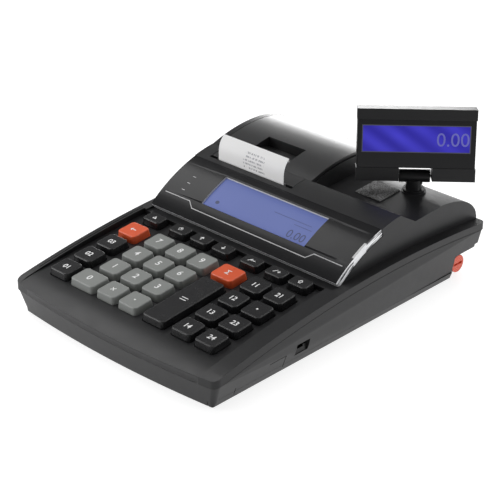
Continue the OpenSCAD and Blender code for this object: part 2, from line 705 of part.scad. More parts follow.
// Wall between the bay and the tray, and the hinge lugs on the bay's rear wall
module bay_walls() {
    edge = cover_t + cover_gap;
    yz_prism(concat([[crest[0] - 2, skirt_z], [crest[0] - 2, crest[1] - edge]], cover_line(edge),
                    [[rear_skin_y - edge, hinge_z - 5.5], [rear_skin_y, rear_wall_z],
                     [rear_skin_y, skirt_z]]), bay_x1, tray_x0);
    block([bay_x0 - 1, rear_skin_y - wall, skirt_z], [tray_x0, rear_skin_y, rear_wall_z]);
    for (x = [lug_x0, lug_x1]) {
        rod_x(x, x + lug_w, hinge_y, hinge_z, barrel_r);
        block([x, hinge_y - 3, rear_wall_z - 5], [x + lug_w, rear_skin_y - wall + 0.3, hinge_z]);
    }
    // Boss that the swivelling post turns in
    translate([post_x, post_y, boss_z - 3.4]) cylinder(h = 3.4, r = 8);
}

// Posts under the deck that the keyboard board is screwed to
POSTS = [for (x = [left_x() - 11.1, right_x() + key_pitch_x + 11.4]) for (r = [14, 50, 88]) [x, r]];
flange_t = 1.2;
stem_h = 1.2;
flange_w = -deck_t - 0.2;
mat_w = flange_w - flange_t - stem_h - key_travel - 0.2;
mat_t = 0.6;
board_t = 1.6;
module deck_posts() {
    on_deck() for (post = POSTS)
        translate([post[0], post[1], mat_w - mat_t]) cylinder(h = mat_t - mat_w - deck_t / 2, r = 1.6);
}

// Screw bosses of the upper case, which meet the posts of the lower case
module upper_bosses() {
    for (side = [-1, 1]) {
        translate([side * front_screw[0], front_screw[1], front_screw_z])
            cylinder(h = deck_top(front_screw[1] - boss_r) - front_screw_z - deck_t / 2, r = boss_r);
        translate([side * rear_screw[0], rear_screw[1], rear_boss_z])
            cylinder(h = rear_wall_z - rear_boss_z - 0.5, r = boss_r);
    }
    // Long boss under the tray's right rear corner, and webs that tie both rear bosses to the walls
    translate([rear_screw[0], rear_screw[1], rear_wall_z - 2]) cylinder(h = 6.5, r = boss_r);
    block([rear_screw[0], rear_screw[1] - 1, skirt_z],
          [housing_hw - 1, rear_screw[1] + 1, rear_wall_z + 1]);
    block([-housing_hw + 1, rear_screw[1] - 1, skirt_z],
          [-rear_screw[0], rear_screw[1] + 1, rear_wall_z - 1]);
}

module key_holes() {
    grow = 2 * (key_flare + key_gap);
    on_deck() for (key = KEYS)
        translate([key[1], key[2], -deck_t - 1]) linear_extrude(deck_t + 3)
            polygon(rounded_rect(key[3] + grow, key[4] + grow, key_r + 0.6));
}

// One key: a tapered cap, a straight neck in the deck's hole, a flange under the deck and a stem
module keycap(key) {
    skirt = [key[3] + 2 * key_flare, key[4] + 2 * key_flare];
    tint = key[5] == "grey" ? [0.57, 0.58, 0.57] : key[5] == "orange" ? [0.91, 0.37, 0.2] : [0.2, 0.2, 0.2];
    color(tint) place() on_deck() translate([key[1], key[2], 0]) {
        linear_extrude(key_h, scale = [key[3] / skirt[0], key[4] / skirt[1]], slices = 1)
            polygon(rounded_rect(skirt[0], skirt[1], key_r + 0.3));
        translate([0, 0, flange_w - eps]) linear_extrude(2 * eps - flange_w)
            polygon(rounded_rect(skirt[0], skirt[1], key_r + 0.3));
        translate([0, 0, flange_w - flange_t]) linear_extrude(flange_t)
            polygon(rounded_rect(skirt[0] + 2 * (key_gap + key_flange), skirt[1] + 2 * (key_gap + key_flange),
                                 key_r + 1));
        translate([0, 0, flange_w - flange_t - stem_h]) cylinder(h = stem_h + eps, r = 2.4);
    }
}

// Rubber mat with the contact pads, between the keys and their board
module key_mat() {
    x0 = left_x() - 9.3;
    x1 = right_x() + key_pitch_x + 9.3;
    color([0.75, 0.76, 0.72]) place() on_deck()
        block([x0, 12, mat_w - mat_t], [x1, top_row_r + 6, mat_w]);
}

module keyboard_board() {
    x0 = left_x() - 13.1;
    x1 = right_x() + key_pitch_x + 13.2;
    color([0.1, 0.4, 0.2]) place() on_deck()
        block([x0, 11, mat_w - mat_t - board_t], [x1, top_row_r + 6.5, mat_w - mat_t]);
}

// Thick clear panel, bent to the curve of the housing
module fascia_lens() {
    hw = housing_hw - lens_inset;
    color([0.1, 0.1, 0.12, 0.85]) place()
        yz_prism(concat(arc_points(lens_a0, lens_a1, seat_r, 24),
                        arc_points(lens_a1, lens_a0, fascia_r, 24)), -hw, hw);
}

// Flat display module in the opening behind the clear panel
module operator_lcd() {
    color([0.43, 0.49, 0.73]) place() lcd_frame()
        block([-lcd_w / 2, -lcd_h / 2, -lcd_t], [lcd_w / 2, lcd_h / 2, 0]);
}

// Main board on its posts, with the sockets that open through the rear wall
module main_board() {
    board_z = wall + 2.8;
    color([0.08, 0.3, 0.16]) place() {
        block([-66, 150, board_z], [66, plug_wall_y - wall - 0.4, board_z + board_t]);
        for (socket = SOCKETS) socket_body(socket, board_z + board_t);
        block([20, 165, board_z + board_t], [40, 185, board_z + board_t + 2]);
        block([-30, 160, board_z + board_t], [-12, 172, board_z + board_t + 1.6]);
    }
}

// A socket on the main board: a hollow shell, open at the rear
module socket_body(socket, z0) {
    x0 = socket[0] - socket[1] / 2 + 0.2;
    x1 = socket[0] + socket[1] / 2 - 0.2;
    z1 = socket[3] - 0.2;
    y1 = plug_wall_y - 0.3;
    difference() {
        block([x0, y1 - 13, z0 + 0.8], [x1, y1, z1]);
        block([x0 + 1, y1 - 9, z0 + 1.7], [x1 - 1, y1 + 1, z1 - 0.9]);
    }
    block([x0, y1 - 13, z0 - eps], [x1, y1 - 4, z0 + 0.8 + eps]);
}

// Rechargeable battery pack, two cells side by side in a sleeve
module battery_pack() {
    color([0.15, 0.25, 0.55]) place() {
        block([4, 111, wall], [74, 148, wall + 18]);
    }
}

// Folded steel frame of the printer, with the trough that the paper roll drops into
module printer_frame() {
    front_z = platen_z - 1.8;
    plate = [[slot_y - 6.7, 28], [slot_y - 6.7, front_z], [slot_y - 5.2, front_z],
             [slot_y - 4.9, platen_z + 0.4], [slot_y - 1, platen_z + 0.4],
             [slot_y + 1, platen_z - 7], [roll_y - 21, 44], [roll_y + 24.5, 44], [roll_y + 24.5, 30],
             [roll_y + 14, 14], [roll_y - 14, 14], [platen_y + 6, 26]];
    outer_r = roll_r + trough_gap + trough_t;
    color([0.55, 0.56, 0.58]) place() difference() {
        union() {
            for (x = [frame_x0, frame_x1 - frame_t]) yz_prism(plate, x, x + frame_t);
            block([frame_x0, slot_y - 6.7, platen_z - 10], [frame_x1, slot_y - 5.2, front_z]);
            difference() {
                rod_x(frame_x0, frame_x1, roll_y, roll_z, outer_r);
                for (span = [[frame_x0 + frame_t, paper_x0 - 2.4], [paper_x0 - 0.9, paper_x1 + 0.9],
                             [paper_x1 + 2.4, frame_x1 - frame_t]])
                    rod_x(span[0], span[1], roll_y, roll_z, roll_r + trough_gap);
                block([frame_x0 - 1, roll_y - 40, roll_z + 1], [frame_x1 + 1, roll_y + 40, 90]);
            }
            // Feet that stand the frame on the floor of the case
            for (x = [frame_x0, frame_x1 - frame_t]) for (y = [roll_y - 12, roll_y + 12])
                block([x, y - 3, wall + 2.8 + board_t], [x + frame_t, y + 3, 15]);
        }
        rod_x(frame_x1 - frame_t - 1, frame_x1 + 1, motor_y, motor_z, motor_shaft_r + run_gap);
    }
}

// Thermal print head, a ceramic bar on a block, fixed to the front plate of the frame
module thermal_head() {
    color([0.75, 0.72, 0.66]) place() {
        block([paper_x0 - 2, slot_y - 5.2, platen_z - 6], [paper_x1 + 2, slot_y - 0.6, platen_z + 0.4]);
        block([paper_x0 - 1, slot_y - 0.6 - eps, platen_z - 4], [paper_x1 + 1, slot_y + 0.4, platen_z + 3]);
    }
}

module printer_motor() {
    color([0.35, 0.36, 0.38]) place() {
        rod_x(frame_x1, frame_x1 + 12, motor_y, motor_z, 7.5);
        rod_x(frame_x1 + 12 - eps, frame_x1 + 13, motor_y, motor_z, 3);
    }
}

// A spur gear along X: teeth with straight flanks, a little thinner than the gaps
module spur_gear(teeth, width) {
    pitch_r = gear_module * teeth / 2;
    root_r = pitch_r - 1.2 * gear_module;
    tip_r = pitch_r + gear_module;
    step = 360 / teeth;
    outline = [for (i = [0:teeth - 1]) each [
        for (edge = [[-0.34, root_r], [-0.2, pitch_r], [-0.1, tip_r], [0.1, tip_r], [0.2, pitch_r],
                     [0.34, root_r]])
            let (a = step * (i + edge[0])) [edge[1] * cos(a), edge[1] * sin(a)]]];
    rotate([90, 0, 90]) linear_extrude(width) polygon(outline);
}

// The platen has a tooth and the motor gear a gap on the line between the two axles
module platen_roller() {
    color([0.15, 0.15, 0.16]) place() {
        rod_x(paper_x0 - 0.3, paper_x1 + 0.3, platen_y, platen_z, platen_r);
        rod_x(arm_x0 - 0.5, gear_x0 + gear_w + 0.2, platen_y, platen_z, platen_shaft_r);
        translate([gear_x0, platen_y, platen_z]) rotate([gear_dir, 0, 0]) spur_gear(platen_teeth, gear_w);
    }
}

module drive_gear() {
    color([0.85, 0.84, 0.8]) place() {
        translate([gear_x0, motor_y, motor_z]) rotate([gear_dir + 180 + 180 / motor_teeth, 0, 0])
            spur_gear(motor_teeth, gear_w);
        rod_x(gear_x0 + gear_w - eps, frame_x1 - eps, motor_y, motor_z, motor_shaft_r);
    }
}

// Paper roll on its core, lying in the trough
module paper_roll() {
    color([0.95, 0.95, 0.93]) place() difference() {
        rod_x(paper_x0, paper_x1, roll_y, roll_z, roll_r);
        rod_x(paper_x0 - 1, paper_x1 + 1, roll_y, roll_z, 6);
    }
}

// Points of a bent strip's centre line: a list of [y, z], turned into an outline of even thickness
function strip(points, t) = let (
    n = len(points),
    normals = [for (i = [0:n - 1])
        let (d = points[min(i + 1, n - 1)] - points[max(i - 1, 0)]) [-d[1], d[0]] / norm(d)]
) concat([for (i = [0:n - 1]) points[i] + normals[i] * t / 2],
         [for (i = [n - 1:-1:0]) points[i] - normals[i] * t / 2]);

// Ticket paper: off the roll, under and up past the platen, out of the slot, and curling back
web_r = platen_r + nip_gap + paper_t / 2;
roll_web_r = roll_r + nip_gap + paper_t / 2;
web_dist = norm([roll_y - platen_y, roll_z - platen_z]);
web_a = atan2(roll_z - platen_z, roll_y - platen_y) + asin((web_r + roll_web_r) / web_dist);
curl_z = platen_z + 16;
curl_r = 14;
curl_a = 50;
WEB = concat(
    [[roll_y - roll_web_r * sin(web_a), roll_z + roll_web_r * cos(web_a)]],
    [for (i = [0:8]) let (a = web_a - 90 + (-90 - web_a) * i / 8)
        [platen_y + web_r * cos(a), platen_z + web_r * sin(a)]],
    [for (i = [0:8]) let (a = curl_a * i / 8)
        [platen_y - web_r + curl_r * (1 - cos(a)), curl_z + curl_r * sin(a)]]
);
module paper_sheet() {
    color([0.97, 0.97, 0.96]) place() yz_prism(strip(WEB, paper_t), paper_x0, paper_x1);
}

// Hinged cover over the printer: curved shell with a front tongue, finger recess, platen arms, barrel
recess_x0 = -51.6;
recess_x1 = -18.9;
recess_y = 187.5;
recess_floor_z = 61.5;
module printer_cover() {
    x0 = bay_x0 + cover_gap;
    x1 = bay_x1 + bay_wall - 0.9;
    color([0.21, 0.21, 0.22]) place() difference() {
        union() {
            difference() {
                union() {
                    yz_prism(concat(cover_line(0), [for (i = [14 * 2:-1:0]) cover_line(cover_t)[i]]), x0, x1);
                    tongue();
                    yz_prism(cover_pocket(wall), recess_x0 - wall, recess_x1 + wall);
                    skirts(x0);
                }
                yz_prism(concat(cover_pocket(0), [[recess_y, 90], [recess_y - 18, 90]]),
                         recess_x0, recess_x1);
            }
            platen_arms();
            cover_barrel();
        }
        rod_x(arm_x0 - 1, arm_x1 + arm_t + 1, platen_y, platen_z, platen_shaft_r + run_gap);
        rod_x(lug_x0 - 9, bay_x1 + 9, hinge_y, hinge_z, hinge_pin_r + run_gap);
        for (x = [lug_x0, lug_x1])
            block([x - 0.4, hinge_y - barrel_r - 3, hinge_z - 9],
                  [x + lug_w + 0.4, rear_y + 9, hinge_z + 5.2]);
        // Notch that lets the end of the cover swing down past the wall of the bay
        block([bay_x1 - cover_gap, hinge_y - barrel_r - 3, hinge_z - 9],
              [x1 + 1, rear_y + 9, hinge_z + 5.2]);
    }
}

// Floor and back wall of the finger recess as an outline, pushed down and back by a thickness
function cover_pocket(t) = let (front_y = recess_y - 16.5)
    t == 0 ? [[front_y, crest[1] + 2.3], [recess_y, recess_floor_z]]
           : [[front_y - 2, crest[1] + 1.4], [front_y, crest[1] - t + 2], [recess_y, recess_floor_z - t],
              [recess_y + t, recess_floor_z - t], [recess_y + t, cover_top_z - 2]];

// Front tongue of the cover, which carries on the curve of the housing down to the paper slot
module tongue() {
    tongue_a = acos((tongue_y - arc_y) / fascia_r);
    yz_prism(concat(arc_points(tongue_a, crest_a, fascia_r, 8), [[crest[0] + 3, crest[1] + 0.3]],
                    [[crest[0] + 3, crest[1] - cover_t]],
                    arc_points(crest_a, tongue_a, fascia_r - cover_t, 8)), tongue_x0, tongue_x1);
}

// Ribs along both edges of the cover, which keep it stiff
module skirts(x0) {
    drop = 7;
    last = rear_y - 26;
    line = [for (p = cover_line(cover_t / 2)) if (p[0] < last) p];
    outline = concat(line, [[last, line[len(line) - 1][1] - drop]],
                     [for (i = [len(line) - 1:-1:1]) [line[i][0], line[i][1] - drop]]);
    yz_prism(outline, x0, x0 + 1.6);
    yz_prism(outline, bay_x1 - 1.5, bay_x1 - cover_gap);
}

// Two arms under the tongue that carry the platen
module platen_arms() {
    for (x = [arm_x0, arm_x1]) {
        rod_x(x, x + arm_t, platen_y, platen_z, platen_shaft_r + 1.6);
        block([x, platen_y - 3.6, platen_z], [x + arm_t, platen_y + 3.6, crest[1] - cover_t - 1]);
    }
}

// Barrel between the case's lugs, joined to the rear skin of the cover
module cover_barrel() {
    rod_x(lug_x0 + lug_w + 0.4, lug_x1 - 0.4, hinge_y, hinge_z, barrel_r);
    block([lug_x0 + lug_w + 0.4, hinge_y, hinge_z], [lug_x1 - 0.4, rear_skin_y - 0.6, hinge_z + 3]);
}

module cover_hinge_pin() {
    color([0.7, 0.7, 0.72]) place() rod_x(lug_x0, lug_x1 + lug_w, hinge_y, hinge_z, hinge_pin_r);
}

// Toothed metal bar on the front edge of the tongue, against which the ticket is torn off
module tear_bar() {
    bar_t = 0.5;
    teeth = 38;
    top_z = arc_z + sqrt(fascia_r * fascia_r - (tongue_y - arc_y) * (tongue_y - arc_y));
    step = (paper_w + 1.6) / teeth;
    x0 = paper_x - (paper_w + 1.6) / 2;
    outline = concat([[x0, top_z - cover_t]],
                     [for (i = [0:teeth - 1])
                         each [[x0 + step * i, top_z - 0.4], [x0 + step * (i + 0.5), top_z + 0.4]]],
                     [[x0 + step * teeth, top_z - 0.4], [x0 + step * teeth, top_z - cover_t]]);
    color([0.75, 0.75, 0.77]) place() xz_prism(outline, tongue_y - bar_t, tongue_y);
}

// Textured pad on the floor of the rear tray
module deck_pad() {
    x0 = 26;
    y0 = tray_front_y + 6.1;
    slope = (tray_back_z - tray_z) / (tray_round_y - tray_front_y);
    function floor_z(y) = tray_z + (y - tray_front_y) * slope;
    y1 = min(y0 + pad_w, tray_round_y);
    color([0.42, 0.42, 0.42]) place()
        yz_prism([[y0, floor_z(y0)], [y1, floor_z(y1)], [y1, floor_z(y1) + pad_t], [y0, floor_z(y0) + pad_t]],
                 x0, x0 + pad_w);
}

// Round plug that seals the service screw, in the recess at the right rear corner
module seal_plug() {
    color([0.8, 0.3, 0.22]) place() {
        rod_x(block_x - 4, block_x + 2.6, plug_y, plug_z, plug_shaft_r);
        difference() {
            rod_x(block_x + 2.6 - eps, block_x + 5, plug_y, plug_z, plug_r);
            block([block_x + 4, plug_y - 4, plug_z - 0.6], [block_x + 6, plug_y + 4, plug_z + 0.6]);
        }
    }
}

// Stands on the tilt axis of the customer display: X along the axis, Y to the back, Z up
module at_knuckle() {
    translate([post_x, post_y, knuckle_z]) rotate([0, 0, head_turn]) children();
}

module in_head() {
    at_knuckle() rotate([-head_lean, 0, 0]) children();
}

// Post that turns in the tray: foot disc, clip under the tray, round post and the tilting knuckle
module swivel_post() {
    color([0.17, 0.17, 0.18]) place() difference() {
        union() {
            translate([post_x, post_y, boss_z + 0.1]) cylinder(h = 1.4, r = 7);
            translate([post_x, post_y, boss_z - 5.2]) cylinder(h = 1.5, r = 4.8);
            translate([post_x, post_y, boss_z - 5]) cylinder(h = 6, r = 3.5);
            translate([post_x, post_y, boss_z + 1]) cylinder(h = knuckle_z - boss_z - 3, r = post_r);
            at_knuckle() {
                rotate([0, 90, 0]) cylinder(h = knuckle_w, r = knuckle_r, center = true);
                block([-post_r, -3.2, -4.5], [post_r, 3.2, 0]);
            }
        }
        at_knuckle() rotate([0, 90, 0]) cylinder(h = knuckle_w + 2, r = tilt_pin_r + run_gap, center = true);
    }
}

module tilt_pin() {
    color([0.7, 0.7, 0.72]) place() in_head() rotate([0, 90, 0])
        cylinder(h = notch_w + 8, r = tilt_pin_r, center = true);
}

// Housing of the customer display: two bars that stand a little proud, with the window between them
module head_shell() {
    hw = head_w / 2;
    low = -head_low;
    high = head_h - head_low;
    back = head_t - head_front;
    color([0.2, 0.2, 0.21]) place() in_head() difference() {
        union() {
            yz_prism([[-head_front + 0.8, low + 1], [back - 2, low + 0.2], [back, low + 2.2],
                      [back, high - 2.6], [back - 3, high - 0.2], [-head_front + 0.8, high - 1]],
                     -hw + bar_proud, hw - bar_proud);
            for (bar = [[low, low + bar_low], [high - bar_top, high]])
                block([-hw, -head_front, bar[0]], [hw, 2, bar[1]]);
        }
        block([-hw + 2, -head_front + 1.6, low + bar_low + 1.2], [hw - 2, back - 1.8, high - 2]);
        block([-hw + 1, -head_front - 1, low + bar_low], [hw - 1, -head_front + 1.8, high - bar_top]);
        block([-notch_w / 2, -head_front - 1, low - 1], [notch_w / 2, back + 1, low + bar_low]);
        rotate([0, 90, 0]) cylinder(h = notch_w + 8, r = tilt_pin_r, center = true);
    }
}

// Clear window of the customer display
module head_window() {
    hw = head_w / 2 - 1;
    color([0.12, 0.11, 0.11, 0.9]) place() in_head()
        block([-hw, -head_front + 0.6, bar_low - head_low],
              [hw, -head_front + 1.6, head_h - head_low - bar_top]);
}

module head_lcd() {
    hw = head_w / 2 - 2.8;
    color([0.2, 0.18, 0.7]) place() in_head()
        block([-hw, -head_front + 1.8, bar_low - head_low + 6],
              [hw, -head_front + 5.5, head_h - head_low - 9]);
}

bottom_case();
top_case();
fascia_lens();
operator_lcd();
key_mat();
keyboard_board();
main_board();
battery_pack();
printer_frame();
thermal_head();
printer_motor();
drive_gear();
platen_roller();
paper_roll();
paper_sheet();
printer_cover();
cover_hinge_pin();
tear_bar();
rubber_feet();
case_screws();
deck_pad();
seal_plug();
swivel_post();
tilt_pin();
head_shell();
head_window();
head_lcd();
for (key = KEYS) keycap(key);
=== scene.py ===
import math
import bmesh
import bpy
from mathutils import Matrix, Vector
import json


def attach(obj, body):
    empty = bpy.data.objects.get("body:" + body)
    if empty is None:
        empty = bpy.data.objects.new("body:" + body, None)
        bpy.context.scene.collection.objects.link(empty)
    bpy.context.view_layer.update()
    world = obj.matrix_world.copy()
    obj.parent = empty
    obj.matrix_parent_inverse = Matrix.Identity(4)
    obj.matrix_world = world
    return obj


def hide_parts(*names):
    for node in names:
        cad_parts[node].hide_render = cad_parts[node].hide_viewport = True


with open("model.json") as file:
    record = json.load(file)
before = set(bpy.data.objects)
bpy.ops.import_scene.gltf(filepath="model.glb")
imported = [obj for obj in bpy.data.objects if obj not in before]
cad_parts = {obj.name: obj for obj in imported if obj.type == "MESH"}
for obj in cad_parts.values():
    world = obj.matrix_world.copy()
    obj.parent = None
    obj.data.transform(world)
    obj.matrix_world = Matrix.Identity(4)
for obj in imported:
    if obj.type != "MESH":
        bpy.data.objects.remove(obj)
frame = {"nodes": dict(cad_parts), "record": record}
bpy.context.view_layer.update()

# ---------------------------------------------------------------- lower case
# An ABS tub that carries the boards, the battery and the printer. It is moulded in one
# piece with a fine texture, and four screws pull the upper case down onto its edge.
mm = 0.001
front_to_middle, foot_h = 118.4, 0.8


def at(x, y, z):
    """A place given in millimetres across, back from the front corners and up from the case's bottom."""
    return Vector((x, y - front_to_middle, z + foot_h)) * mm


def merged_copy(node):
    """The solid of a node with its loose triangles merged into flat faces."""
    bm = bmesh.new()
    bm.from_mesh(frame["nodes"][node].data)
    bmesh.ops.remove_doubles(bm, verts=bm.verts, dist=0.002 * mm)
    bmesh.ops.dissolve_limit(bm, angle_limit=math.radians(0.4), verts=bm.verts, edges=bm.edges)
    return bm


def round_edges(bm, width, segments, chosen, turn=32):
    """Rounds the outward edges that turn by more than an angle and that chosen(middle, faces) picks."""
    edges = [e for e in bm.edges if len(e.link_faces) == 2
             and e.calc_face_angle_signed(0) > math.radians(turn)
             and chosen((e.verts[0].co + e.verts[1].co) / 2, e.link_faces)]
    if edges:
        bmesh.ops.bevel(bm, geom=edges, offset=width * mm, offset_type="OFFSET", affect="EDGES",
                        segments=segments, profile=0.5, material=-1, clamp_overlap=True)


def shade(obj):
    """Smooth faces that break only at sharp turns, with normals led by the large faces."""
    for face in obj.data.polygons:
        face.use_smooth = True
    obj.data.set_sharp_from_angle(angle=math.radians(30))
    weigh = obj.modifiers.new("face_normals", "WEIGHTED_NORMAL")
    weigh.keep_sharp = True


def build(bm, name, body, materials, nodes):
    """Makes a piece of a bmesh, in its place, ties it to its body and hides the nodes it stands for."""
    mesh = bpy.data.meshes.new(name)
    bm.to_mesh(mesh)
    bm.free()
    obj = bpy.data.objects.new(name, mesh)
    bpy.context.collection.objects.link(obj)
    for material in materials:
        mesh.materials.append(material)
    shade(obj)
    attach(obj, body)
    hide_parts(*nodes)


class Wire:
    """A value on its way through a material, with arithmetic that adds the nodes it needs."""

    def __init__(self, finish, out):
        self.finish, self.out = finish, out

    def math(self, operation, *others):
        return self.finish.node("ShaderNodeMath", {"operation": operation}, [self, *others])

    def __add__(self, other):
        return self.math("ADD", other)

    def __mul__(self, other):
        return self.math("MULTIPLY", other)

    def __sub__(self, other):
        return self.math("SUBTRACT", other)

    def __rsub__(self, other):
        return self.math("MULTIPLY", -1.0).math("ADD", other)

    def __gt__(self, other):
        return self.math("GREATER_THAN", other)

    def __lt__(self, other):
        return self.math("LESS_THAN", other)

    __radd__ = __add__
    __rmul__ = __mul__


class Finish:
    """A material on a Principled shader: constants go on its sockets, wires are linked to them."""

    def __init__(self, name, **constants):
        self.material = bpy.data.materials.new(name)
        self.material.use_nodes = True
        self.tree = self.material.node_tree
        self.shader = self.tree.nodes["Principled BSDF"]
        self.set(**constants)
        self.place = self.node("ShaderNodeTexCoord", output="Object")

    def set(self, **inputs):
        for name, value in inputs.items():
            self.plug(self.shader.inputs[name.replace("_", " ")], value)

    def plug(self, socket, value):
        if isinstance(value, Wire):
            self.tree.links.new(value.out, socket)
        elif hasattr(value, "__len__") and len(value) == 3 and socket.type == "RGBA":
            socket.default_value = (*value, 1)
        else:
            socket.default_value = value

    def node(self, kind, settings=(), inputs=(), output=0):
        made = self.tree.nodes.new(kind)
        for name, value in dict(settings).items():
            setattr(made, name, value)
        for name, value in inputs.items() if isinstance(inputs, dict) else enumerate(inputs):
            self.plug(made.inputs[name], value)
        return Wire(self, made.outputs[output])

    def noise(self, scale, detail=2.0, place=None):
        return self.node("ShaderNodeTexNoise", {}, {"Vector": place or self.place, "Scale": scale,
                                                    "Detail": detail}, "Fac")

    def axes(self, place=None):
        split = self.tree.nodes.new("ShaderNodeSeparateXYZ")
        self.plug(split.inputs[0], place or self.place)
        return [Wire(self, out) for out in split.outputs]

    def stretched(self, scale):
        return self.node("ShaderNodeMapping", {}, {"Vector": self.place, "Scale": scale})

    def mix(self, factor, low, high):
        return self.node("ShaderNodeMix", {"data_type": "RGBA"}, {0: factor, 6: low, 7: high}, 2)

    def bump(self, height, distance, strength=1.0):
        return self.node("ShaderNodeBump", {}, {"Height": height, "Distance": distance,
                                                "Strength": strength})


def moulded(name, tone, roughness, grain=0.03, mottle=0.08, cell=2200, **constants):
    """Moulded plastic: a tone that drifts slightly, uneven gloss and a fine spark-eroded texture."""
    finish = Finish(name, **constants)
    drift = finish.noise(45, 3)
    dark, light = ([c * (1 + shift) for c in tone] for shift in (-mottle, mottle))
    finish.set(Base_Color=finish.mix(drift, dark, light),
               Roughness=(finish.noise(160, 2) - 0.5) * 0.1 + roughness,
               Normal=finish.bump(finish.noise(cell, 3), grain * mm))
    return finish.material


case_black = moulded("case_black", (0.014, 0.014, 0.015), 0.36, Specular_IOR_Level=0.3)
lower = merged_copy("bottom_case")
floor_front, floor_rear, floor_side = at(0, 3, 0).y, at(0, 235, 0).y, 74 * mm
wall_side = 76 * mm


def long_enough(faces, size=1.5):
    """True between faces that are all larger than a size in square millimetres."""
    return all(f.calc_area() > size * mm * mm for f in faces)


round_edges(lower, 1.6, 4, lambda middle, faces: middle.z < 1.5 * mm and (
    abs(middle.x) > floor_side or middle.y < floor_front or middle.y > floor_rear))
round_edges(lower, 0.35, 2, lambda middle, faces: abs(middle.x) > wall_side and middle.z > 4 * mm
            and long_enough(faces, 2), turn=60)
build(lower, "lower_case", "base", [case_black], ["bottom_case"])

# ---------------------------------------------------------------- rubber feet
# Four discs of soft black rubber, stuck into shallow pockets in the floor of the lower case
# with adhesive film.
foot_rubber = moulded("foot_rubber", (0.018, 0.018, 0.018), 0.85, grain=0.06, cell=900)
feet = merged_copy("rubber_feet")
round_edges(feet, 0.25, 3, lambda middle, faces: middle.z < 0.4 * mm)
build(feet, "foot_discs", "base", [foot_rubber], ["rubber_feet"])

# ---------------------------------------------------------------- boards
# Glass-fibre boards with a green solder mask: the main board on posts in the lower case and
# the key board screwed under the deck. Copper lines show faintly under the mask.


def coat_node(node, material):
    """Gives a node of the model its finish, and keeps its shape."""
    mesh = frame["nodes"][node].data
    mesh.materials.clear()
    mesh.materials.append(material)


board = Finish("solder_mask", Roughness=0.35, IOR=1.5)
x, y, z = board.axes()
tracks = ((x * 900).math("SINE") > 0.86) * (board.noise(70, 1) > 0.52)
runs = ((y * 760).math("SINE") > 0.88) * (board.noise(55, 1) > 0.5)
copper = tracks.math("MAXIMUM", runs)
mask = board.mix(copper, (0.012, 0.09, 0.035), (0.03, 0.19, 0.07))
parts_z, parts_y = at(0, 0, 6.7).z, at(0, 150, 0).y
board.set(Base_Color=board.mix((z > parts_z) * (y > parts_y), mask, (0.03, 0.03, 0.032)),
          Normal=board.bump(copper, 0.03 * mm))
for node in ("keyboard_board", "main_board"):
    coat_node(node, board.material)

# ---------------------------------------------------------------- battery pack
# Two cells side by side in a shrunk blue sleeve, which lie on the floor of the lower case. The
# sleeve rounds over the cells along their length.
sleeve = merged_copy("battery_pack")
round_edges(sleeve, 7, 6, lambda middle, faces: all(abs(f.normal.x) < 0.5 for f in faces))
battery_blue = moulded("battery_sleeve", (0.02, 0.06, 0.28), 0.3, grain=0.05, cell=300)
build(sleeve, "battery_cells", "base", [battery_blue], ["battery_pack"])

# ---------------------------------------------------------------- printer
# A frame folded from zinc-plated sheet carries the thermal head, the motor and the trough for
# the paper roll. The platen and its gear hang from the cover and drop into mesh with the motor.
zinc = Finish("zinc_plate", Metallic=1.0)
streaks = zinc.noise(180, 4, zinc.stretched((1, 8, 8)))
zinc.set(Base_Color=zinc.mix(streaks, (0.4, 0.41, 0.43), (0.62, 0.63, 0.64)),
         Roughness=streaks * 0.3 + 0.22, Normal=zinc.bump(streaks, 0.01 * mm))
for node in ("printer_frame", "case_screws"):
    coat_node(node, zinc.material)
ground = Finish("ground_steel", Metallic=1.0)
lay = ground.noise(2600, 2, ground.stretched((1, 0.1, 0.1)))
ground.set(Base_Color=ground.mix(lay, (0.5, 0.5, 0.51), (0.68, 0.68, 0.7)), Roughness=lay * 0.2 + 0.18)
for node in ("cover_hinge_pin", "tilt_pin", "tear_bar"):
    coat_node(node, ground.material)
can = Finish("motor_can", Metallic=1.0)
drawn = can.noise(500, 3, can.stretched((0.1, 1, 1)))
can.set(Base_Color=can.mix(drawn, (0.3, 0.3, 0.31), (0.45, 0.45, 0.46)), Roughness=drawn * 0.25 + 0.25)
coat_node("printer_motor", can.material)
glaze = moulded("head_glaze", (0.62, 0.58, 0.5), 0.22, grain=0.01)
coat_node("thermal_head", glaze)
acetal = moulded("gear_acetal", (0.72, 0.7, 0.63), 0.4, grain=0.02)
coat_node("drive_gear", acetal)
sleeve_rubber = moulded("platen_rubber", (0.02, 0.02, 0.02), 0.6, grain=0.04, cell=1500)
coat_node("platen_roller", sleeve_rubber)

# ---------------------------------------------------------------- ticket paper
# Smooth thermal paper wound on a core. The free end comes up between the head and the platen,
# stands out of the slot and curls back, with rows of grey print on it.


def distance(a, b):
    """Length of the step whose two parts are given, inside a material."""
    return (a * a + b * b).math("SQRT")


roll_y, roll_z = at(0, 197, 36).yz
wound = Finish("wound_paper", Roughness=0.75)
_, y, z = wound.axes()
turns = (distance(y - roll_y, z - roll_z) * 9000).math("SINE")
wound.set(Base_Color=wound.mix(turns * 0.5 + 0.5, (0.7, 0.7, 0.68), (0.86, 0.86, 0.85)),
          Normal=wound.bump(turns, 0.02 * mm))
coat_node("paper_roll", wound.material)
paper = Finish("thermal_paper", Roughness=0.6)
x, _, z = paper.axes()
row = ((z * 2600).math("SINE") > 0.1)
letters = paper.noise(1300, 1, paper.stretched((1, 0.25, 0.25)))
print_z0, print_z1 = at(0, 0, 62).z, at(0, 0, 74).z
sheet_x = [v.co.x for v in frame["nodes"]["paper_sheet"].data.vertices]
block_x = (min(sheet_x) + max(sheet_x)) / 2 + 3 * mm
off_middle = (x - block_x).math("ABSOLUTE") + paper.noise(220, 0) * 9 * mm
printed = row * (letters > 0.48) * (z > print_z0) * (z < print_z1) * (off_middle < 13.5 * mm)
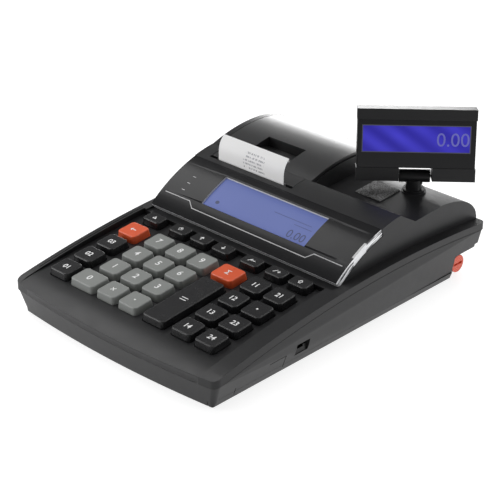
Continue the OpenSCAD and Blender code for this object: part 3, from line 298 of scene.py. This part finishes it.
paper.set(Base_Color=paper.mix(printed, (0.88, 0.88, 0.88), (0.42, 0.42, 0.44)),
          Normal=paper.bump(paper.noise(60, 2), 0.2 * mm, 0.4))
coat_node("paper_sheet", paper.material)

# ---------------------------------------------------------------- keys
# Separate moulded caps that rise through the deck, each with its own flange and stem. The top
# edges are rounded, and the marks are printed on in white.
slope = math.radians(5.37)
right_deck = Vector((1, 0, 0))
up_deck = Vector((0, math.cos(slope), math.sin(slope)))
off_deck = Vector((0, -math.sin(slope), math.cos(slope)))
figure_h = 0.7  # height of a figure in lettering of size 1


def text_shape(words, height, bold=0.018):
    """The outlines of some words as a flat mesh, centred, with the height given to a full figure."""
    curve = bpy.data.curves.new("words", "FONT")
    curve.body, curve.resolution_u, curve.offset = words, 4, bold
    holder = bpy.data.objects.new("words", curve)
    bpy.context.collection.objects.link(holder)
    bpy.context.view_layer.update()
    flat = bpy.data.meshes.new_from_object(holder.evaluated_get(bpy.context.evaluated_depsgraph_get()))
    bpy.data.objects.remove(holder)
    bpy.data.curves.remove(curve)
    points = [v.co for v in flat.vertices]
    middle = (Vector(map(min, zip(*points))) + Vector(map(max, zip(*points)))) / 2
    flat.transform(Matrix.Scale(height * mm / figure_h, 4) @ Matrix.Translation(-middle))
    return flat


def stroke_shape(lines, width):
    """Flat strokes of one width along lines of points, in millimetres, as a mesh."""
    bm = bmesh.new()
    for points in lines:
        for a, b in zip(points, points[1:]):
            a, b = Vector((*a, 0)), Vector((*b, 0))
            along = (b - a).normalized() * width / 2
            side = Vector((-along.y, along.x, 0))
            start, end = a - along * 0.8, b + along * 0.8
            bm.faces.new([bm.verts.new(c * mm) for c in (start - side, end - side, end + side, start + side)])
    flat = bpy.data.meshes.new("strokes")
    bm.to_mesh(flat)
    bm.free()
    return flat


def ring(radius, start=0, end=360, steps=20):
    """Points of an arc of a circle, in millimetres."""
    return [(radius * math.cos(math.radians(a)), radius * math.sin(math.radians(a)))
            for a in [start + (end - start) * i / steps for i in range(steps + 1)]]


def add_print(bm, flat, middle, right, up, lift, index):
    """Lays a flat mesh on a surface, its axes along right and up, a little proud, in a material slot."""
    away = right.cross(up)
    turn = Matrix((right, up, away)).transposed().to_4x4()
    flat.transform(Matrix.Translation(middle + away * lift) @ turn)
    old = set(bm.faces)
    bm.from_mesh(flat)
    for face in set(bm.faces) - old:
        face.material_index = index
        if face.normal.dot(away) < 0:
            face.normal_flip()


arrow = [[(0, -1.5), (0, 1.5)], [(-1.1, 0.3), (0, 1.5), (1.1, 0.3)]]
MARKS = {
    "key_f1": "01", "key_f2": "02", "key_f3": "03",
    "key_d1": "11", "key_d2": "12", "key_d3": "13", "key_d4": "14",
    "key_p1": "24", "key_p2": "23", "key_p3": "dot", "key_p4": "21",
    "key_clear": "back", "key_feed": "feed", "key_power": "power", "key_up": "up", "key_down": "down",
    "key_minus": "minus", "key_plus": "plus", "key_shift": "shift",
    "key_times": "cross", "key_point": "dot", "key_subtotal": "sum", "key_total": "equals",
}
STROKES = {
    "dot": [[(-0.15, 0), (0.15, 0)]],
    "cross": [[(-1.2, -1.2), (1.2, 1.2)], [(-1.2, 1.2), (1.2, -1.2)]],
    "back": [[(-2, 0), (2, 0)], [(-0.9, 1.1), (-2, 0), (-0.9, -1.1)]],
    "feed": [[(-1.3, -0.9), (1.3, -0.9), (0, 1.1), (-1.3, -0.9)]],
    "power": [ring(1.35, 120, 420), [(0, 0.2), (0, 1.8)]],
    "up": arrow,
    "down": [[(px, -py) for px, py in line] for line in arrow],
    "minus": [[(-2.3, -1.2), (-0.5, 1.2)], ring(0.45, steps=10), [(0.6, 0), (2.4, 0)]],
    "plus": [[(-2.3, -1.2), (-0.5, 1.2)], [(0.6, 0), (2.4, 0)], [(1.5, -0.9), (1.5, 0.9)]],
    "shift": [[(0, 1.6), (1.5, 0.1), (0.7, 0.1), (0.7, -1.4),
               (-0.7, -1.4), (-0.7, 0.1), (-1.5, 0.1), (0, 1.6)]],
    "sum": [[(1.4, 1.8), (-1.4, 1.8), (0.3, 0), (-1.4, -1.8), (1.4, -1.8)]],
    "equals": [[(-2.4, 1.1), (2.4, 1.1)], [(-2.4, -1.1), (2.4, -1.1)]],
}
KEY_TONES = {
    "black": moulded("key_black", (0.012, 0.012, 0.013), 0.26, grain=0.015, Specular_IOR_Level=0.42),
    "grey": moulded("key_grey", (0.235, 0.245, 0.235), 0.34, grain=0.02, mottle=0.04),
    "orange": moulded("key_orange", (0.74, 0.105, 0.032), 0.3, grain=0.02, mottle=0.05),
}
white_print = moulded("white_print", (0.88, 0.88, 0.88), 0.5, grain=0.01, mottle=0.04)
slots = {part["node"]: part["material_slot"] for part in frame["record"]["subparts"]}
for node in [name for name in frame["nodes"] if slots[name].endswith("_key")]:
    cap = merged_copy(node)
    crown_h = max(v.co.dot(off_deck) for v in cap.verts) - 0.05 * mm
    crown = [v.co.copy() for v in cap.verts if v.co.dot(off_deck) > crown_h]
    crown_middle = (Vector(map(min, zip(*crown))) + Vector(map(max, zip(*crown)))) / 2
    round_edges(cap, 0.6, 4, lambda middle, faces: middle.dot(off_deck) > crown_h)
    mark = MARKS.get(node, node[-1])
    if mark.isdigit():
        shape = text_shape(mark, 4.5 if len(mark) == 1 else 3.8)
    else:
        shape = stroke_shape(STROKES[mark], 1.2 if mark == "dot" else 0.62)
    add_print(cap, shape, crown_middle, right_deck, up_deck, 0.04 * mm, 1)
    tone = KEY_TONES[slots[node].removesuffix("_key")]
    build(cap, node + "_cap", node + "_cap", [tone, white_print], [node])
silicone = moulded("key_silicone", (0.5, 0.5, 0.47), 0.5, grain=0.04)
coat_node("key_mat", silicone)

# ---------------------------------------------------------------- upper case
# One ABS moulding with the rims, the sloping key deck, the display housing, the printer bay and
# the rear tray. Its edges are softly rounded, and the deck's key holes are left crisp.
upper = merged_copy("top_case")
rim_side, corner_side = 86.6 * mm, 78.6 * mm
corner_front, corner_rear = at(0, 6, 0).y, at(0, 235, 0).y
rim_front, rim_rear = at(0, -3, 0).y, at(0, 243.8, 0).y
deck_start, deck_side = at(0, 0, 21.8), 74 * mm
deck_front, deck_rear, housing_rear = at(0, 8, 0).y, at(0, 101, 0).y, at(0, 150, 0).y
front_low, rear_low = at(0, 0, 24).z, at(0, 0, 31).z


def on_outer_edge(middle, faces):
    """True on the top edge of the rim, where the skin turns down into the side faces."""
    if not any(abs(f.normal.z) < 0.25 for f in faces) or not any(f.normal.z > 0.8 for f in faces):
        return False
    near_corner = middle.y < corner_front or middle.y > corner_rear
    return (abs(middle.x) > rim_side or abs(middle.x) > corner_side and near_corner
            or middle.y < rim_front or middle.y > rim_rear)


def at_key_hole(middle):
    """True near the deck's skin inside the key field."""
    height = (middle - deck_start).dot(off_deck)
    return (deck_front < middle.y < deck_rear and abs(middle.x) < deck_side
            and -3 * mm < height < 0.6 * mm)


round_edges(upper, 1.7, 5, on_outer_edge)
round_edges(upper, 0.7, 3, lambda middle, faces: middle.z > front_low and middle.y < housing_rear
            and long_enough(faces) and not at_key_hole(middle))
round_edges(upper, 0.55, 3, lambda middle, faces: middle.z > rear_low and middle.y > housing_rear
            and long_enough(faces))
build(upper, "upper_case", "base", [case_black], ["top_case"])

# ---------------------------------------------------------------- clear panel and operator display
# A thick acrylic panel bent to the housing's curve. Its face is printed black but for a window
# over the display. Its bare ends are opaque: the light and reflections in the clear stock are
# painted on them as pale streaks, and the tab at the right end is painted pale.
arc_y, arc_z, arc_r = 174.54, -44.26, 107.5
axle = at(0, arc_y, arc_z)
window_x, window_y0, window_y1 = 44.0, 116.3, 139.0
film_slot, glass_slot, end_slot, rim_slot, line_slot, faint_slot = range(6)


def arc_angle(y):
    """Angle on the panel's outer face above a distance back."""
    return math.acos((y - arc_y) / arc_r)


def from_axle(co):
    """Distance of a place from the curve's axle, and its angle there."""
    return math.hypot(co.y - axle.y, co.z - axle.z), math.atan2(co.z - axle.z, co.y - axle.y)


def divide(bm, place, facing):
    """Divides the faces that a plane crosses, and keeps both sides."""
    bmesh.ops.bisect_plane(bm, geom=bm.verts[:] + bm.edges[:] + bm.faces[:], dist=0.001 * mm,
                           plane_co=place, plane_no=facing)


panel = merged_copy("fascia_lens")
for cut in (-window_x, window_x):
    divide(panel, (cut * mm, 0, 0), (1, 0, 0))
high_a, low_a = arc_angle(window_y0), arc_angle(window_y1)
for a in (high_a, low_a):
    divide(panel, axle, (0, -math.sin(a), math.cos(a)))


def in_window(face):
    middle = face.calc_center_median()
    radius, angle = from_axle(middle)
    return radius > (arc_r - 1) * mm and abs(middle.x) < window_x * mm and low_a < angle < high_a


window_depth = 1.1 * mm
glass = [f for f in panel.faces if in_window(f)]
window_rim = bmesh.ops.inset_region(panel, faces=glass, thickness=0.15 * mm, depth=-window_depth,
                                    use_even_offset=True)["faces"]
front_edge_a = math.radians(129)
for face in panel.faces:
    radius, angle = from_axle(face.calc_center_median())
    in_stock = (arc_r - 4) * mm < radius < (arc_r - 1) * mm
    at_front = in_stock and angle > front_edge_a and abs(face.normal.x) < 0.5
    face.material_index = end_slot if at_front or abs(face.normal.x) > 0.9 else film_slot
for face in glass:
    face.material_index = glass_slot
for face in window_rim:
    face.material_index = rim_slot

film = Finish("panel_print", Specular_IOR_Level=0.14, Coat_Weight=0.04, Coat_Roughness=0.06)
x, y, _ = film.axes()
tab_x, tab_y0, tab_y1 = 77.9 * mm, at(0, 121, 0).y, at(0, 132.5, 0).y
# The tab at the panel's right end is painted pale: painted light in the clear stock there
tab_painted_light = (x > tab_x) * (y > tab_y0) * (y < tab_y1)
film.set(Base_Color=film.mix(tab_painted_light, (0.012, 0.012, 0.013), (0.6, 0.6, 0.6)),
         Roughness=film.noise(90, 2) * 0.08 + 0.18)
stock = Finish("acrylic_end_painted_light", Roughness=0.18, Coat_Weight=0.4)
_, y, z = stock.axes()
dy, dz = y - axle.y, z - axle.z
streak = stock.node("ShaderNodeCombineXYZ", {}, [dz.math("ARCTAN2", dy) * 7, distance(dy, dz) * 800, 0.0])
# Painted light: pale streaks on the opaque ends stand for the light and reflections seen in the clear stock
clear = (stock.noise(1, 2, streak) - 0.46) * 9
# The tab on the ends is painted near white as well: painted light in the clear stock
tab_painted_light = (y > tab_y0) * (y < tab_y1)
stock.set(Base_Color=stock.mix(clear.math("MAXIMUM", tab_painted_light * 0.9), (0.045, 0.045, 0.05), (0.92, 0.93, 0.95)))
lit = Finish("operator_glass", Emission_Strength=0.3, Specular_IOR_Level=0.15, Coat_Weight=0.08,
             Coat_Roughness=0.1, Roughness=0.4)
x, y, _ = lit.axes()
blob_x, blob_y = at(-35, 0, 0).x, at(0, 121.5, 0).y
blob = distance(x - blob_x, (y - blob_y) * math.sqrt(2)) < 1.6 * mm
blue = lit.mix(lit.noise(25, 2), (0.085, 0.115, 0.31), (0.105, 0.14, 0.36))
shaded = lit.mix(blob * 0.8, blue, (0.03, 0.035, 0.06))
lit.set(Base_Color=shaded, Emission_Color=shaded)
pale = moulded("window_rim", (0.5, 0.51, 0.55), 0.4, grain=0.01)


def wrap(flat):
    """Bends a flat mesh, drawn up from the window's front edge, onto the panel's outer face."""
    for v in flat.vertices:
        a, r = high_a - v.co.y / (arc_r * mm), (arc_r + 0.03) * mm + v.co.z
        v.co = axle + Vector((v.co.x, r * math.cos(a), r * math.sin(a)))
    return flat


def along_arc(y):
    """Millimetres along the curve from the window's front edge to a distance back."""
    return (high_a - arc_angle(y)) * arc_r


def spread(points, steps=8):
    """Points of a line given by its places across and back, laid out flat and divided finely."""
    flat = [(px, along_arc(py)) for px, py in points]
    return [tuple(a[k] + (b[k] - a[k]) * i / steps for k in (0, 1))
            for a, b in zip(flat, flat[1:]) for i in range(steps)] + [flat[-1]]


border = [(-75.5, 114.8), (-53.5, 114.9), (-48.3, 111.5), (49.5, 111.1), (53.6, 114.7), (76, 114.6)]
dashes = [[(-65.3, y), (-63.3, y)] for y in (119.7, 124.8, 130.1)]
lines = stroke_shape([spread(border)] + [spread(dash, 2) for dash in dashes], 0.55)
on_glass = 0.02 * mm - window_depth
reading = text_shape("0.00", 6, 0)
reading.transform(Matrix.Translation((33 * mm, along_arc(120.5) * mm, on_glass)))
rules = stroke_shape([spread([(7, 129.5), (38, 129.5)]), spread([(26, 126.8), (40, 126.8)])], 0.3)
rules.transform(Matrix.Translation((0, 0, on_glass)))
for flat, index in ((lines, line_slot), (reading, faint_slot), (rules, faint_slot)):
    old = set(panel.faces)
    panel.from_mesh(wrap(flat))
    for face in set(panel.faces) - old:
        face.material_index = index
        middle = face.calc_center_median()
        if from_axle(middle + face.normal * mm)[0] < from_axle(middle)[0]:
            face.normal_flip()
line_print = moulded("line_print", (0.55, 0.55, 0.56), 0.5, grain=0.01)
faint = moulded("faint_figures", (0.045, 0.06, 0.16), 0.5, grain=0.01)
build(panel, "clear_panel", "base",
      [film.material, lit.material, stock.material, pale, line_print, faint], ["fascia_lens"])
coat_node("operator_lcd", pale)

# ---------------------------------------------------------------- printer cover
# A satin ABS cover that swings on a steel pin at the rear. It carries the platen under its
# front tongue, and a finger scoop is moulded into its front.
cover_satin = moulded("cover_satin", (0.018, 0.018, 0.019), 0.3, grain=0.012, Specular_IOR_Level=0.6)
cover = merged_copy("printer_cover")
cover_low = at(0, 0, 50).z
round_edges(cover, 0.6, 3, lambda middle, faces: middle.z > cover_low and long_enough(faces)
            and max(f.normal.z for f in faces) > 0.2)
build(cover, "cover_shell", "cover", [cover_satin], ["printer_cover"])

# ---------------------------------------------------------------- tray pad
# A square of rough rubber sheet, speckled light and dark. It is glued to the floor of the tray
# in front of the display's post.
pad = merged_copy("deck_pad")
round_edges(pad, 0.3, 2, lambda middle, faces: max(f.normal.z for f in faces) > 0.5)
speckle = Finish("speckled_rubber")
grit = speckle.noise(1100, 4)
speckle.set(Base_Color=speckle.mix((grit - 0.35) * 3.2, (0.05, 0.05, 0.05), (0.3, 0.3, 0.3)), Roughness=0.85,
            Normal=speckle.bump(grit, 0.4 * mm))
build(pad, "tray_pad", "base", [speckle.material], ["deck_pad"])

# ---------------------------------------------------------------- customer display
# A round post clipped into the tray turns the display, and a steel pin through the knuckle lets
# it tilt. The head is a moulded housing with a smoked window over a blue backlit display.
post_black = moulded("post_black", (0.013, 0.013, 0.014), 0.4, Specular_IOR_Level=0.3)
post = merged_copy("swivel_post")
round_edges(post, 0.4, 3, lambda middle, faces: long_enough(faces, 1))
build(post, "display_post", "swivel", [post_black], ["swivel_post"])
head = merged_copy("head_shell")
round_edges(head, 0.7, 3, lambda middle, faces: long_enough(faces, 4))
build(head, "display_housing", "display_head", [post_black], ["head_shell"])

turn, lean = math.radians(41.7), math.radians(11)
pivot = at(52.5, 211, 65.4)
head_axes = Matrix.Rotation(turn, 3, "Z") @ Matrix.Rotation(-lean, 3, "X")
head_right, head_up = head_axes @ Vector((1, 0, 0)), head_axes @ Vector((0, 0, 1))

pane = merged_copy("head_window")
uv = pane.loops.layers.uv.new("face")
for face in pane.faces:
    for loop in face.loops:
        local = head_axes.transposed() @ (loop.vert.co - pivot)
        loop[uv].uv = (local.x, local.z)
smoked = Finish("smoked_window", Specular_IOR_Level=0.2, Coat_Weight=0.05, Coat_Roughness=0.04,
                Emission_Strength=0.35)
across, tall, _ = smoked.axes(smoked.node("ShaderNodeUVMap", {"uv_map": "face"}))


def within(half_width, half_height):
    """1 inside a rectangle round the middle of the lit display, 0 outside."""
    return (((across + 0.2 * mm).math("ABSOLUTE") < half_width * mm)
            * ((tall - 25.4 * mm).math("ABSOLUTE") < half_height * mm))


lit_area = within(33.5, 8.2)
frame_area = within(34.1, 8.8) - lit_area
bands = ((across * 300 + tall * 420).math("SINE") * 0.5 + 0.5) * smoked.noise(30, 2)
glow = smoked.mix(bands, (0.022, 0.016, 0.34), (0.06, 0.05, 0.62))
face_tone = smoked.mix(lit_area, smoked.mix(frame_area, (0.008, 0.008, 0.009), (0.09, 0.09, 0.12)), glow)
smoked.set(Base_Color=face_tone, Roughness=smoked.noise(60, 2) * 0.06 + 0.1,
           Emission_Color=smoked.mix(lit_area, (0, 0, 0), glow))
digits_place = pivot + head_axes @ (Vector((22.8, -8.7, 25.2)) * mm)
add_print(pane, text_shape("0.00", 8.6, 0), digits_place, head_right, head_up, 0.03 * mm, 1)
digit_glow = Finish("digit_glow", Emission_Strength=0.2, Roughness=0.5, Specular_IOR_Level=0.2)
tone = digit_glow.mix(digit_glow.noise(200, 1), (0.12, 0.12, 0.44), (0.17, 0.17, 0.5))
digit_glow.set(Base_Color=tone, Emission_Color=tone)
build(pane, "display_window", "display_head", [smoked.material, digit_glow.material],
      ["head_window"])
coat_node("head_lcd", moulded("display_back", (0.03, 0.03, 0.3), 0.4))

# ---------------------------------------------------------------- seal plug
# A red plug pressed over the service screw in the rear recess, with a slot to turn it and fine
# turned rings on its face.
plug_y, plug_z = at(0, 223.5, 8.3).yz
plug = merged_copy("seal_plug")
round_edges(plug, 0.35, 3, lambda middle, faces: max(f.normal.x for f in faces) > 0.8)
red = Finish("plug_red", Roughness=0.35)
_, y, z = red.axes()
dy, dz = y - plug_y, z - plug_z
swirl = (distance(dy, dz) * 5200 + dy.math("ARCTAN2", dz)).math("SINE")
red.set(Base_Color=red.mix(swirl * 0.5 + 0.5, (0.5, 0.05, 0.022), (0.8, 0.11, 0.045)),
        Normal=red.bump(swirl, 0.05 * mm))
build(plug, "seal_button", "plug", [red.material], ["seal_plug"])

# ---------------------------------------------------------------- studio
# A long lens looks down at the front right corner. A pale floor that runs past the horizon, a
# bright rim of sky and five soft boxes light the black plastics mostly by what they reflect.
azimuth, elevation, roll = math.radians(43.49843), math.radians(26.98056), math.radians(-0.31534)
aim, stand_off = at(15.8512, 98.3756, 40), 1.0105459
focal_px, frame_px, sensor = 1651.844, 500, 36
camera_side = Vector((math.sin(azimuth), -math.cos(azimuth), 0))
back = camera_side * math.cos(elevation) + Vector((0, 0, math.sin(elevation)))
right = (-back).cross(Vector((0, 0, 1))).normalized()
down = (-back).cross(right)
tilted_right = math.cos(roll) * right + math.sin(roll) * down
tilted_down = -math.sin(roll) * right + math.cos(roll) * down
lens = bpy.data.cameras.new("camera")
lens.sensor_fit, lens.sensor_width, lens.lens = "HORIZONTAL", sensor, focal_px / frame_px * sensor
lens.clip_start, lens.clip_end = 0.05, 50
camera = bpy.data.objects.new("camera", lens)
camera.matrix_world = (Matrix.Translation(aim + back * stand_off)
                       @ Matrix((tilted_right, -tilted_down, back)).transposed().to_4x4())
bpy.context.collection.objects.link(camera)
bpy.context.scene.camera = camera
bpy.context.scene.view_settings.view_transform = "Standard"

floor_bm = bmesh.new()
bmesh.ops.create_grid(floor_bm, x_segments=2, y_segments=2, size=30)
floor_mesh = bpy.data.meshes.new("floor")
floor_bm.to_mesh(floor_mesh)
floor_bm.free()
floor = bpy.data.objects.new("floor", floor_mesh)
floor_paint = Finish("floor_paint", Roughness=0.9, Emission_Strength=0.8, Emission_Color=(1, 1, 1))
floor_paint.set(Base_Color=floor_paint.mix(floor_paint.noise(3, 2), (0.42, 0.42, 0.42), (0.44, 0.44, 0.44)))
floor_mesh.materials.append(floor_paint.material)
bpy.context.collection.objects.link(floor)

world = bpy.data.worlds.new("studio")
bpy.context.scene.world = world
world.use_nodes = True
sky = world.node_tree
direction = sky.nodes.new("ShaderNodeTexCoord").outputs["Generated"]
parts = sky.nodes.new("ShaderNodeSeparateXYZ")
ramp = sky.nodes.new("ShaderNodeValToRGB")
stops = ramp.color_ramp.elements
for place in (0.12, 0.42, 0.75):
    stops.new(place)
for stop, value in zip(stops, (0.95, 0.75, 0.2, 0.25, 1.0)):
    stop.color = (value, value, value, 1)
# The sky on the front right side is dimmed, so the faces turned that way stay dark
toward = sky.nodes.new("ShaderNodeVectorMath")
toward.operation = "DOT_PRODUCT"
toward.inputs[1].default_value = camera_side
dim = sky.nodes.new("ShaderNodeMapRange")
for name, value in (("From Min", 0.35), ("From Max", 0.9), ("To Min", 1.0), ("To Max", 0.2)):
    dim.inputs[name].default_value = value
for out, socket in ((direction, parts.inputs[0]), (parts.outputs["Z"], ramp.inputs[0]),
                    (ramp.outputs[0], sky.nodes["Background"].inputs["Color"]),
                    (direction, toward.inputs[0]), (toward.outputs["Value"], dim.inputs["Value"]),
                    (dim.outputs[0], sky.nodes["Background"].inputs["Strength"])):
    sky.links.new(out, socket)


def soft_box(name, place, aim, size, power):
    """A square area light that looks at a point, and isn't seen itself."""
    light = bpy.data.lights.new(name, "AREA")
    light.size, light.energy = size, power
    box = bpy.data.objects.new(name, light)
    place = Vector(place)
    facing = (place - Vector(aim)).to_track_quat("Z", "Y").to_matrix().to_4x4()
    box.matrix_world = Matrix.Translation(place) @ facing
    box.visible_camera = False
    bpy.context.collection.objects.link(box)


soft_box("left_top", (-0.72, 0.02, 0.85), (0, 0, 0), 0.45, 2.5)
soft_box("rear_top", (-0.05, 0.72, 0.85), (0, 0, 0), 0.45, 3.0)
soft_box("rear_left", (-0.55, 0.68, 0.13), (0, 0.1, 0.06), 0.35, 2.3)
soft_box("left_fill", (-0.38, -0.42, 0.15), (-0.06, -0.12, 0.02), 0.28, 1.25)
soft_box("right_fill", (0.75, 0.35, 0.25), (0.09, 0, 0.02), 0.5, 1.5)
